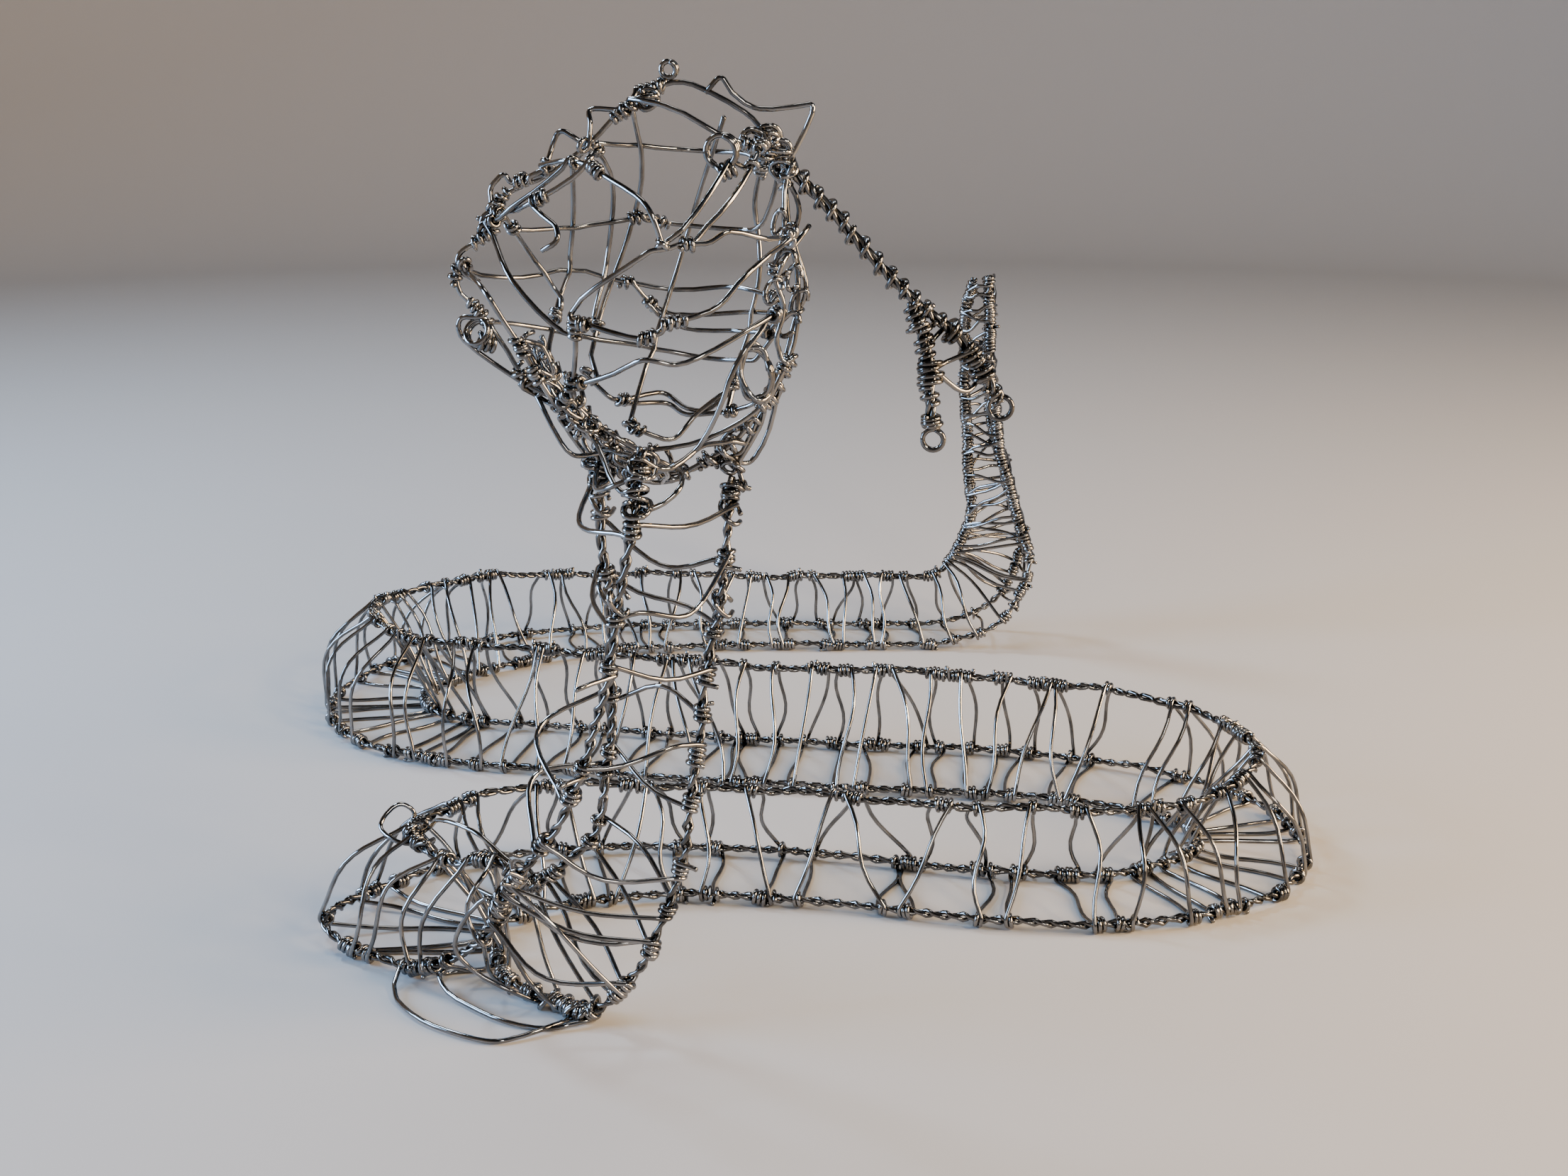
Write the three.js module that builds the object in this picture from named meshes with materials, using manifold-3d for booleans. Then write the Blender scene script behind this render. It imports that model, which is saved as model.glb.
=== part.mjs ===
// A snake of bright steel wire. It lies in three runs on a table, its neck and head stand up at
// the front left, its tail stands up at the back right, and a forked tongue hangs from its mouth.
// Three strands, each a pair of wires twisted together, run the length of the body as the corners
// of a three-sided cage, and single wires are bent round them as hoops. The head is a cage of
// bent wires. Units are millimetres, +X is to the right, +Y to the back and +Z up.
import * as THREE from 'three';
import Module from 'manifold-3d';
import { mergeVertices } from 'three/addons/utils/BufferGeometryUtils.js';

const wasm = await Module();
wasm.setup();

// Wire sizes.
const WIRE_RADIUS = 0.6; // one cross wire
const STRAND_FLAT = 1.5; // centre of a twisted strand to each of its six flats
const STRAND_SIDES = 6;
const STRAND_RADIUS = STRAND_FLAT / Math.cos(Math.PI / STRAND_SIDES);
const WIRE_SIDES = 5;
const STEPS_BETWEEN_STATIONS = 3;
const WRAP_RADIUS = 3.2; // centre of a strand to the centre of a hoop bent round it
const REST = STRAND_FLAT; // height of a strand's centre where it lies on the table

// Where the body's middle comes to when the whole model is centred over its origin.
const CENTRING = new THREE.Vector3(3.66, -482.6, 0);

const UP = [0, 0, 1];

// Stations of the body from the tail's tip to the head. Each gives the middle of the two lower
// strands, the width between them, the height of the top strand over them, and the direction in
// which the top strand stands off.
const STATIONS = [
  { at: [68, 619, 127], width: 5, height: 4.5, crest: [-1, 0, 0] },
  { at: [69, 619, 112], width: 8, height: 8, crest: [-1, 0, 0] },
  { at: [70, 619, 92], width: 9, height: 9, crest: [-1, 0, 0] },
  { at: [73, 619, 70], width: 11, height: 10, crest: [-1, 0, 0] },
  { at: [79, 620, 50], width: 15, height: 15, crest: [-1, 0, 0.1] },
  { at: [84, 620, 30], width: 20, height: 24, crest: [-1, 0, 0.4] },
  { at: [74, 620, 10], width: 24, height: 25, crest: [-0.6, 0, 1] },
  { at: [52, 619, REST], width: 24, height: 22, crest: UP },
  { at: [15, 619, REST], width: 24, height: 21, crest: UP },
  { at: [-30, 618, REST], width: 25, height: 22, crest: UP },
  { at: [-70, 612, REST], width: 27, height: 24, crest: UP },
  { at: [-103, 596, REST], width: 29, height: 27, crest: UP },
  { at: [-123, 572, REST], width: 29, height: 29, crest: UP },
  { at: [-128, 548, REST], width: 29, height: 30, crest: UP },
  { at: [-116, 526, REST], width: 31, height: 30, crest: UP },
  { at: [-93, 514, REST], width: 33, height: 30, crest: UP },
  { at: [-60, 508, REST], width: 34, height: 30, crest: UP },
  { at: [-20, 500, REST], width: 34, height: 29, crest: UP },
  { at: [25, 494, REST], width: 34, height: 29, crest: UP },
  { at: [65, 489, REST], width: 33, height: 28, crest: UP },
  { at: [97, 478, REST], width: 31, height: 27, crest: UP },
  { at: [117, 461, REST], width: 28, height: 26, crest: UP },
  { at: [121, 440, REST], width: 28, height: 25, crest: UP },
  { at: [109, 420, REST], width: 28, height: 24, crest: UP },
  { at: [82, 408, REST], width: 27, height: 23, crest: UP },
  { at: [45, 411, REST], width: 27, height: 23, crest: UP },
  { at: [10, 420, REST], width: 27, height: 22, crest: UP },
  { at: [-25, 424, REST], width: 28, height: 23, crest: UP },
  { at: [-55, 421, REST], width: 31, height: 24, crest: UP },
  { at: [-76, 411, REST], width: 36, height: 25, crest: UP },
  { at: [-88, 393, REST], width: 40, height: 24, crest: [0.1, 0, 1] },
  { at: [-75, 377, REST], width: 20, height: 23, crest: [0, 0.1, 1], across: [1, 0.4, 0] },
  { at: [-63, 364, 8], width: 15, height: 22, crest: [0, 0.3, 1], across: [0.4, 0.3, -0.9] },
  { at: [-50, 353, 16], width: 33, height: 20, crest: [-0.3, 1, 0.5], across: [0.5, 0, -0.9] },
  { at: [-39, 350, 30], width: 32, height: 20, crest: [-0.2, 1, 0.2], across: [0.7, 0, -0.7] },
  { at: [-33, 349, 46], width: 26, height: 19, crest: [-0.3, 1, 0], across: [0.9, 0.2, -0.3] },
  { at: [-27, 350, 70], width: 24, height: 20, crest: [-0.5, 0.87, 0] },
  { at: [-23, 350, 92], width: 25, height: 21, crest: [-0.65, 0.76, 0] },
  { at: [-20, 350, 112], width: 28, height: 23, crest: [-0.77, 0.64, 0] },
  { at: [-19, 354, 122], width: 29, height: 23, crest: [-0.8, 0.6, 0] },
];

// A smooth curve through given points, stepped by the points and not by its length, so that a
// wire made along it has a corner at each of them.
class BentCurve extends THREE.CatmullRomCurve3 {
  constructor(points) {
    super(points, false, 'catmullrom', 0.5);
  }

  getUtoTmapping(u) {
    return u;
  }
}

// A smooth curve through a strand's stations. Its section keeps one flat towards the table all
// along the body, because it is carried without twist both ways from the middle run.
class StrandCurve extends BentCurve {
  getPoint(t, target = new THREE.Vector3()) {
    super.getPoint(t, target);
    target.z = Math.max(target.z, REST);
    return target;
  }

  computeFrenetFrames(steps) {
    const tangents = [];
    for (let i = 0; i <= steps; i += 1) tangents.push(this.getTangentAt(i / steps));
    const normals = [];
    const middle = Math.round(steps / 2);
    normals[middle] = square(new THREE.Vector3(...UP), tangents[middle]);
    for (let i = middle + 1; i <= steps; i += 1) normals[i] = square(normals[i - 1], tangents[i]);
    for (let i = middle - 1; i >= 0; i -= 1) normals[i] = square(normals[i + 1], tangents[i]);
    const binormals = normals.map((normal, i) => tangents[i].clone().cross(normal));
    return { tangents, normals, binormals };
  }
}

// The part of a direction that is at right angles to another, made one unit long.
function square(direction, to) {
  return direction.clone().addScaledVector(to, -direction.dot(to)).normalize();
}

// A regular section of a wire. Its flats, not its corners, face along its first axis.
function wireSection(radius, sides) {
  const section = new THREE.Shape();
  for (let i = 0; i < sides; i += 1) {
    const angle = ((i + 0.5) * 2 * Math.PI) / sides;
    const corner = [radius * Math.cos(angle), radius * Math.sin(angle)];
    if (i === 0) section.moveTo(...corner);
    else section.lineTo(...corner);
  }
  section.closePath();
  return section;
}

// A solid wire of one thickness along a curve, closed at both ends.
function wireAlong(curve, steps, radius = WIRE_RADIUS, sides = WIRE_SIDES) {
  const section = wireSection(radius, sides);
  return new THREE.ExtrudeGeometry(section, { steps, extrudePath: curve, bevelEnabled: false });
}

function curveThrough(points) {
  return new THREE.CatmullRomCurve3(points, false, 'catmullrom', 0.5);
}

// The places of the top, left and right strands at every station.
function strandPlaces() {
  const middles = STATIONS.map(({ at }) => new THREE.Vector3(...at));
  const places = { top: [], left: [], right: [] };
  STATIONS.forEach(({ width, height, crest, across }, i) => {
    const before = middles[Math.max(i - 1, 0)];
    const after = middles[Math.min(i + 1, middles.length - 1)];
    const heading = after.clone().sub(before).normalize();
    let up = new THREE.Vector3(...crest).normalize();
    let side = new THREE.Vector3();
    if (across) {
      side.set(...across).normalize();
    } else {
      up = square(up, heading);
      side.crossVectors(up, heading);
    }
    places.top.push(middles[i].clone().addScaledVector(up, height));
    places.left.push(middles[i].clone().addScaledVector(side, width / 2));
    places.right.push(middles[i].clone().addScaledVector(side, -width / 2));
  });
  return places;
}

const places = strandPlaces();
const strands = {
  top: new StrandCurve(places.top),
  left: new StrandCurve(places.left),
  right: new StrandCurve(places.right),
};
const LAST_STATION = STATIONS.length - 1;

// A steady irregular value between -1 and 1 for hand-bent wire.
function wander(seed) {
  const value = Math.sin(seed * 12.9898) * 43758.5453;
  return 2 * (value - Math.floor(value)) - 1;
}

// One cross wire bent round the three strands at a station of the body. It passes over the top
// strand. At the lower strands it passes outside too where the body stands clear of the table,
// and inside them where they lie on it. Its two ends meet in the middle of the lower side.
function hoopPath(station, lean, outside, seed) {
  const cut = (name, shift) => strands[name].getPoint((station + shift) / LAST_STATION);
  const corners = [cut('top', lean), cut('left', -lean), cut('right', -lean)];
  const centre = new THREE.Vector3();
  corners.forEach((corner) => centre.addScaledVector(corner, 1 / 3));
  const between = (a, b) => a.clone().lerp(b, 0.5);
  const outwardOf = (a, b) => square(between(a, b).sub(centre), b.clone().sub(a).normalize());
  const bow = 0.9 + 0.5 * wander(seed);
  const wrap = (k) => {
    const corner = corners[k];
    const previous = outwardOf(corners[(k + 2) % 3], corner);
    const next = outwardOf(corner, corners[(k + 1) % 3]);
    const outward = corner.clone().sub(centre).normalize();
    if (k > 0 && !outside) return [corner.clone().addScaledVector(outward, -WRAP_RADIUS)];
    return [previous, outward, next].map((way) => corner.clone().addScaledVector(way, WRAP_RADIUS));
  };
  const sideMiddle = (a, b, depth) => between(a, b).addScaledVector(outwardOf(a, b), depth);
  const foot = sideMiddle(corners[1], corners[2], outside ? WRAP_RADIUS : -WRAP_RADIUS);
  const endGap = corners[2].clone().sub(corners[1]).setLength(WIRE_RADIUS);
  return [
    foot.clone().add(endGap),
    ...wrap(2),
    sideMiddle(corners[2], corners[0], bow + (outside ? WRAP_RADIUS : 0)),
    ...wrap(0),
    sideMiddle(corners[0], corners[1], bow + (outside ? WRAP_RADIUS : 0)),
    ...wrap(1),
    foot.clone().sub(endGap),
  ];
}

// Finishes.
const strandSteel = () => new THREE.MeshStandardMaterial({
  color: 0x8f9093, roughness: 0.34, metalness: 1,
});
const wireSteel = () => new THREE.MeshStandardMaterial({
  color: 0xb6b7b8, roughness: 0.22, metalness: 1,
});

const snake = new THREE.Group();
snake.position.copy(CENTRING);

function add(name, geometry, material) {
  const mesh = new THREE.Mesh(geometry, material);
  mesh.name = name;
  snake.add(mesh);
  return mesh;
}

function addStrands() {
  for (const [name, curve] of Object.entries(strands)) {
    const steps = LAST_STATION * STEPS_BETWEEN_STATIONS;
    const geometry = wireAlong(curve, steps, STRAND_RADIUS, STRAND_SIDES);
    add(`strand_${name}`, geometry, strandSteel());
  }
}

// Hoops, evenly spaced along each stretch of the body and leaning by turns to either side.
const STRETCHES = [
  { name: 'tail_hoop', from: 0.3, to: 5.2, count: 6, outside: true, lean: 0.04 },
  { name: 'body_hoop', from: 6.9, to: 31, count: 25, outside: false, lean: 0.11 },
  { name: 'neck_hoop', from: 34, to: 38.6, count: 5, outside: true, lean: 0.06 },
];

function addHoops() {
  for (const { name, from, to, count, outside, lean } of STRETCHES) {
    for (let i = 0; i < count; i += 1) {
      const station = from + ((to - from) * i) / (count - 1);
      const tilt = lean * (i % 2 ? 1 : -1) * (0.8 + 0.2 * wander(i));
      const stops = hoopPath(station, tilt, outside, i);
      add(`${name}_${i + 1}`, wireAlong(new BentCurve(stops), stops.length - 1), wireSteel());
    }
  }
}

// The head is drawn in its own frame: across to the right and up from its centre, on the near
// cheek, the far cheek or the rim between them. Its outline is full to the right, where the face
// is, and runs to a blunt point at the back on the left.
const HEAD_CENTRE = new THREE.Vector3(-30, 365, 156);
const HEAD = { face: 30, back: 37, half_height: 39.5, half_depth: 28, widest_at: 3 };
const HEAD_WIRE_STEP = 6;
const NEAR = -1;
const FAR = 1;
const RIM = 0;

function headPoint(side, lift, [across, up]) {
  const fromWidest = across - HEAD.widest_at;
  const reach = fromWidest < 0 ? HEAD.back : HEAD.face;
  const roundness = fromWidest < 0 ? 1.2 : 2.4;
  const outAcross = (Math.abs(fromWidest) / reach) ** roundness;
  const outUp = (Math.abs(up) / HEAD.half_height) ** roundness;
  const depth = side * HEAD.half_depth * Math.sqrt(Math.max(0, 1 - outAcross - outUp));
  const standOff = (side || 1) * lift;
  return new THREE.Vector3(across, depth + standOff, up).add(HEAD_CENTRE);
}

// Each wire: its side of the head, how far it stands off the rim, and the places it passes.
const HEAD_WIRES = {
  jaw_wire: [RIM, 0, [-11, -37], [-10, -33], [-17, -23], [-26, -12], [-34, -4], [-33, 3]],
  nape_wire: [RIM, 0, [-30, 6], [-29, 12], [-24, 17], [-17, 20], [-8, 26], [2, 33], [8, 36]],
  crown_wire: [RIM, 0, [11, 37], [16, 36], [22, 32], [28, 26], [31, 20]],
  face_wire: [RIM, 0, [32, 18], [33, 9], [33, -4], [29, -22], [22, -32], [21, -36]],
  nose_spike: [RIM, -1.7, [20, 33], [25, 33], [33, 33], [36, 32], [34, 27], [33, 23]],
  crown_wire_near: [NEAR, 1.7, [-8, 27], [7, 33], [13, 31], [21, 28], [29, 24]],
  brow_wire_near: [NEAR, 1.7, [-17, 20], [-8, 23], [-2, 21], [5, 17], [10, 13], [20, 12], [33, 10]],
  cheek_wire_near: [NEAR, 1.7, [-29, 11], [-23, 4], [-14, -5], [-7, -6], [8, -4], [17, -1], [33, 5]],
  throat_wire_near: [NEAR, 1.7, [-18, -23], [-8, -18], [4, -12], [16, -10], [33, -4]],
  chin_wire_near: [NEAR, 1.7, [31, -14], [20, -17], [14, -29], [4, -36], [-9, -34]],
  upright_wire_near: [NEAR, 4.6, [14, 37], [17, 29], [15, 20], [9, 8], [3, -8], [-3, -24], [-10, -34]],
  crown_wire_far: [FAR, 1.7, [-9, 26], [4, 31], [12, 30], [20, 25], [30, 22]],
  brow_wire_far: [FAR, 1.7, [-22, 18], [-10, 18], [2, 14], [14, 9], [25, 9], [33, 13]],
  cheek_wire_far: [FAR, 1.7, [-32, 7], [-20, 3], [-10, -6], [6, -9], [20, -7], [33, 0]],
  throat_wire_far: [FAR, 1.7, [-20, -19], [-8, -22], [4, -25], [14, -24], [31, -14]],
  upright_wire_far: [FAR, 5.4, [12, 38], [16, 26], [9, 10], [6, -8], [8, -24], [18, -37]],
};

function addHead() {
  for (const [name, [side, lift, ...stops]] of Object.entries(HEAD_WIRES)) {
    const path = curveThrough(stops.map((stop) => headPoint(side, lift, stop)));
    const steps = Math.round(path.getLength() / HEAD_WIRE_STEP) + 1;
    add(`head_${name}`, wireAlong(path, steps), wireSteel());
  }
}

// Small loops that the wire's own end is turned into: a ring that doesn't quite close.
function ringPath(centre, radius, normal) {
  const first = square(new THREE.Vector3(0.3, 0.2, 1), normal);
  const second = first.clone().cross(normal);
  const points = [];
  const corners = 8;
  const turn = 1.8 * Math.PI;
  for (let i = 0; i <= corners; i += 1) {
    const angle = (turn * i) / corners;
    points.push(centre.clone()
      .addScaledVector(first, radius * Math.cos(angle))
      .addScaledVector(second, radius * Math.sin(angle)));
  }
  return curveThrough(points);
}

function addHeadRings() {
  const crown = new THREE.Vector3(8, 0, 40).add(HEAD_CENTRE);
  const nostril = headPoint(NEAR, 0, [22, 22]);
  const facing = new THREE.Vector3(0.1, 1, 0.1).normalize();
  add('head_crown_ring', wireAlong(ringPath(crown, 1.9, facing), 9), wireSteel());
  add('head_nostril_ring', wireAlong(ringPath(nostril, 2.8, facing), 10), wireSteel());
}

// The tongue: a twisted strand that parts into two prongs, each ending in a small loop.
const TONGUE = {
  stem: [[35, 0, 18], [41, 0, 12], [47, 0, 5], [54, 0, -3], [56, 0, -8]],
  left_prong: [[56, 0, -7], [59, -1, -14], [60, -2, -20], [59, -3, -29]],
  right_prong: [[56, 0, -7], [63, 1, -11], [70, 3, -17], [74, 4, -24]],
  stem_radius: 1.5,
  prong_radius: 1.1,
  loop_radius: 2.2,
};

function solidOf(geometry) {
  const bare = geometry.clone();
  bare.deleteAttribute('normal');
  bare.deleteAttribute('uv');
  const joined = mergeVertices(bare, 1e-4);
  return new wasm.Manifold(new wasm.Mesh({
    numProp: 3,
    vertProperties: new Float32Array(joined.attributes.position.array),
    triVerts: new Uint32Array(joined.index.array),
  }));
}

function geometryOf(solid) {
  const mesh = solid.getMesh();
  const geometry = new THREE.BufferGeometry();
  geometry.setAttribute('position', new THREE.BufferAttribute(mesh.vertProperties, 3));
  geometry.setIndex(new THREE.BufferAttribute(mesh.triVerts, 1));
  geometry.computeVertexNormals();
  return geometry;
}

function addTongue() {
  const place = (point) => new THREE.Vector3(...point).add(HEAD_CENTRE);
  const pieces = [wireAlong(curveThrough(TONGUE.stem.map(place)), 7, TONGUE.stem_radius, 6)];
  for (const prong of [TONGUE.left_prong, TONGUE.right_prong]) {
    const path = curveThrough(prong.map(place));
    const drop = path.getTangent(1);
    const loopCentre = path.getPoint(1).addScaledVector(drop, TONGUE.loop_radius);
    const facing = square(new THREE.Vector3(0, 1, 0), drop);
    pieces.push(wireAlong(path, 5, TONGUE.prong_radius, 5));
    pieces.push(wireAlong(ringPath(loopCentre, TONGUE.loop_radius, facing), 9));
  }
  const tongue = pieces.map(solidOf).reduce((joined, piece) => joined.add(piece));
  add('forked_tongue', geometryOf(tongue), strandSteel());
}

addStrands();
addHoops();
addHead();
addHeadRings();
addTongue();

export default snake;
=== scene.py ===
import math
import random

import bpy
import numpy as np
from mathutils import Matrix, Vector


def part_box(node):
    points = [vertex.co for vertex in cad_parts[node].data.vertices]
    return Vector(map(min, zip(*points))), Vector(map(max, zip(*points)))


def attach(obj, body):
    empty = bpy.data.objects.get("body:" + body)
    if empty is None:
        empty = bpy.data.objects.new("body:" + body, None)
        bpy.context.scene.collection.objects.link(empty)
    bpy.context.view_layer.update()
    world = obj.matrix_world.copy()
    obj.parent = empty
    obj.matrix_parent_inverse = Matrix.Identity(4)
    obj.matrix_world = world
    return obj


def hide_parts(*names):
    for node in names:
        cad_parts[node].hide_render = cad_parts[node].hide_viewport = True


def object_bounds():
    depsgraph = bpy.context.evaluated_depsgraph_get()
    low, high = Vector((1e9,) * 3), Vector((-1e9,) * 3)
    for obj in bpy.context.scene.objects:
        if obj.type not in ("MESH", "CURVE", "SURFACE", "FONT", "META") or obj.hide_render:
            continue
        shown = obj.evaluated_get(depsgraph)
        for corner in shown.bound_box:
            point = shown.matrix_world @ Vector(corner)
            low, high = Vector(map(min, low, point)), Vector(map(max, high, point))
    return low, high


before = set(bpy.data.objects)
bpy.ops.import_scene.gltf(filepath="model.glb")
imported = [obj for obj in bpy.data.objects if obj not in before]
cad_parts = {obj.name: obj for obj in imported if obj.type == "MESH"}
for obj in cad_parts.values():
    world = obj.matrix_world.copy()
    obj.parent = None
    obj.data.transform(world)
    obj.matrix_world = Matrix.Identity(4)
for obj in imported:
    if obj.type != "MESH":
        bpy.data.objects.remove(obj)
CAD_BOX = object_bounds()

MM = 0.001
WIRE = 0.54  # radius of a single wire
PAIR = 2 * WIRE  # radius of the round that a twisted pair fills
WOUND = PAIR + WIRE  # from a strand's middle to the middle of a wire wound round it
COIL = 2.2 * WIRE  # from a single wire's middle to the middle of a wire wound round it
PITCH = 2.15 * WIRE  # from turn to turn where a wire is wound close
TWIST = 8.0  # length in which a pair turns once about itself
REST = 2 * WIRE + PAIR  # height of a lower strand's middle, with a wound wire under it
WIRE_SIDES = 8
NIPPED = (0.3, 0.66)  # a cut end's length and its width, for a wire of radius one
UV_UNIT = 10  # length of wire to one unit of its UV layer
TURN = 2 * math.pi
EITHER_WAY = (-1, 1)
RNG = random.Random(41)


def vec(*xyz):
    return np.array(xyz, float)


# The room that the CAD model leaves, which no wire goes outside.
BOX_LOW = np.maximum(vec(*CAD_BOX[0]) / MM, vec(-1000, -1000, 0))
BOX_HIGH = vec(*CAD_BOX[1]) / MM


def unit(v):
    return v / max(np.linalg.norm(v), 1e-9)


def scattered(reach):
    """A chance shift of up to a length along each axis."""
    return vec(*(RNG.uniform(-reach, reach) for _ in range(3)))


def square(direction, to):
    """The part of a direction at right angles to another, one unit long."""
    return unit(direction - np.dot(direction, to) * to)


# ---------------------------------------------------------------------------- lines


def smooth(stops, per_span):
    """Points on a uniform Catmull-Rom curve through the stops."""
    stops = np.asarray(stops, float)
    ends = np.vstack([2 * stops[0] - stops[1], stops, 2 * stops[-1] - stops[-2]])
    t = np.arange(per_span)[:, None] / per_span
    spans = []
    for p0, p1, p2, p3 in zip(ends, ends[1:], ends[2:], ends[3:]):
        curve = 2 * p1 + (p2 - p0) * t
        curve = curve + (2 * p0 - 5 * p1 + 4 * p2 - p3) * t**2
        curve = curve + (3 * p1 - p0 - 3 * p2 + p3) * t**3
        spans.append(curve / 2)
    return np.vstack(spans + [stops[-1:]])


def lengths(points):
    steps = np.linalg.norm(np.diff(points, axis=0), axis=1)
    return np.concatenate([[0], np.cumsum(steps)])


def respaced(points, step):
    """The same line with its points a step apart."""
    along = lengths(points)
    count = max(int(round(along[-1] / step)), 3)
    wanted = np.linspace(0, along[-1], count + 1)
    return np.stack([np.interp(wanted, along, points[:, k]) for k in range(3)], axis=1)


def softened(points, passes):
    """The line with its kinks eased; its ends stay."""
    for _ in range(passes):
        inner = (points[:-2] + 2 * points[1:-1] + points[2:]) / 4
        points = np.vstack([points[:1], inner, points[-1:]])
    return points


def thinned(points, bend=0.17, longest=3.5):
    """The line without the points that its straighter stretches don't need."""
    kept = [0]
    steps = np.diff(points, axis=0)
    steps /= np.maximum(np.linalg.norm(steps, axis=1), 1e-9)[:, None]
    for i in range(1, len(points) - 1):
        turned = np.dot(steps[kept[-1]], steps[i]) < math.cos(bend)
        if turned or np.linalg.norm(points[i] - points[kept[-1]]) > longest:
            kept.append(i)
    return points[kept + [len(points) - 1]]


def carried_frames(points):
    """Tangents and two square directions along a line, carried on without twist."""
    tangents = np.gradient(points, axis=0)
    tangents /= np.maximum(np.linalg.norm(tangents, axis=1), 1e-9)[:, None]
    normal = square(vec(0, 0, 1) if abs(tangents[0][2]) < 0.8 else vec(1, 0, 0), tangents[0])
    normals = []
    for tangent in tangents:
        normal = square(normal, tangent)
        normals.append(normal)
    normals = np.array(normals)
    return tangents, normals, np.cross(tangents, normals)


class Course:
    """A line that other wires can be wound on: places and directions on it by length."""

    def __init__(self, line):
        self.line = line
        self.along = lengths(line)
        self.frames = carried_frames(line)

    def sample(self, values, length):
        return np.stack([np.interp(length, self.along, values[:, k]) for k in range(3)], axis=-1)

    def place(self, length):
        return self.sample(self.line, length)

    def heading(self, length):
        return unit(self.sample(self.frames[0], length))

    def nearest(self, point):
        """The length and distance at which the line passes closest to a point."""
        away = np.linalg.norm(self.line - point, axis=1)
        return self.along[np.argmin(away)], away.min()

    def turns(self, start, lead, outward, angle, radius, pitch=PITCH):
        """A winding from a length on, which starts outward and turns by an angle."""
        count = max(int(abs(angle) / 0.4), 4)
        phi = np.linspace(0, angle, count + 1)
        length = start + lead * pitch * np.abs(phi) / TURN
        _, normals, binormals = (self.sample(values, length) for values in self.frames)
        first = math.atan2(np.dot(outward, binormals[0]), np.dot(outward, normals[0]))
        ring = normals * np.cos(first + phi)[:, None] + binormals * np.sin(first + phi)[:, None]
        slack = radius * (1 + 0.09 * np.sin(1.3 * phi + start) + 0.07 * np.sin(0.37 * phi - start))
        return self.place(length) + slack[:, None] * ring


# ---------------------------------------------------------------------------- wires as meshes


class Bundle:
    """Several wires that make one piece."""

    def __init__(self):
        self.points = []
        self.uvs = []
        self.quads = []
        self.caps = []
        self.count = 0

    def wire(self, line, radius=WIRE, sides=WIRE_SIDES):
        """Adds a round wire along a line, kept in the CAD model's box, with its ends nipped."""
        tangents, normals, binormals = carried_frames(line)
        nip = NIPPED[0] * radius
        line = np.vstack([line[:1] - nip * tangents[:1], line, line[-1:] + nip * tangents[-1:]])
        line = np.clip(line, BOX_LOW + radius, BOX_HIGH - radius)
        normals = np.vstack([normals[:1], normals, normals[-1:]])
        binormals = np.vstack([binormals[:1], binormals, binormals[-1:]])
        radii = np.full(len(line), radius)
        radii[[0, -1]] = NIPPED[1] * radius
        angles = TURN * np.arange(sides) / sides
        ring = normals[:, None, :] * np.cos(angles)[None, :, None]
        ring = ring + binormals[:, None, :] * np.sin(angles)[None, :, None]
        surface = line[:, None, :] + radii[:, None, None] * ring
        rows = len(line)
        index = self.count + np.arange(rows * sides).reshape(rows, sides)
        after = np.roll(index, -1, axis=1)
        quads = np.stack([index[:-1], after[:-1], after[1:], index[1:]], axis=-1)
        along = (lengths(line) + RNG.uniform(0, 500)) / UV_UNIT
        around = np.arange(sides + 1) / sides
        uv = np.empty((rows - 1, sides, 4, 2))
        uv[..., 0] = np.stack([around[:-1], around[1:], around[1:], around[:-1]], axis=-1)
        uv[..., 1] = np.stack([along[:-1], along[:-1], along[1:], along[1:]], axis=-1)[:, None]
        self.points.append(surface.reshape(-1, 3))
        self.quads.append(quads.reshape(-1, 4))
        self.uvs.append(uv.reshape(-1, 2))
        self.caps += [list(index[0][::-1]), list(index[-1])]
        self.count += rows * sides

    def piece(self, name, material, replaced):
        """Makes the wires one object, which takes the place of the CAD nodes it replaces."""
        points = np.vstack(self.points) * MM
        quads = np.vstack(self.quads)
        corners = np.concatenate([quads.ravel(), np.array(self.caps).ravel()])
        sides = len(self.caps[0])
        sizes = np.concatenate([np.full(len(quads), 4), np.full(len(self.caps), sides)])
        starts = np.concatenate([[0], np.cumsum(sizes)[:-1]])
        mesh = bpy.data.meshes.new(name)
        mesh.vertices.add(len(points))
        mesh.vertices.foreach_set("co", points.ravel())
        mesh.loops.add(len(corners))
        mesh.loops.foreach_set("vertex_index", corners.astype(np.int32))
        mesh.polygons.add(len(sizes))
        mesh.polygons.foreach_set("loop_start", starts.astype(np.int32))
        mesh.polygons.foreach_set("use_smooth", np.ones(len(sizes), bool))
        mesh.update(calc_edges=True)
        layer = mesh.uv_layers.new(name="along_wire")
        cap_uvs = np.zeros((len(corners) - quads.size, 2))
        layer.data.foreach_set("uv", np.vstack(self.uvs + [cap_uvs]).ravel())
        mesh.validate()
        mesh.materials.append(material)
        obj = bpy.data.objects.new(name, mesh)
        bpy.context.scene.collection.objects.link(obj)
        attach(obj, "root")
        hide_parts(*replaced)
        return obj


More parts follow.
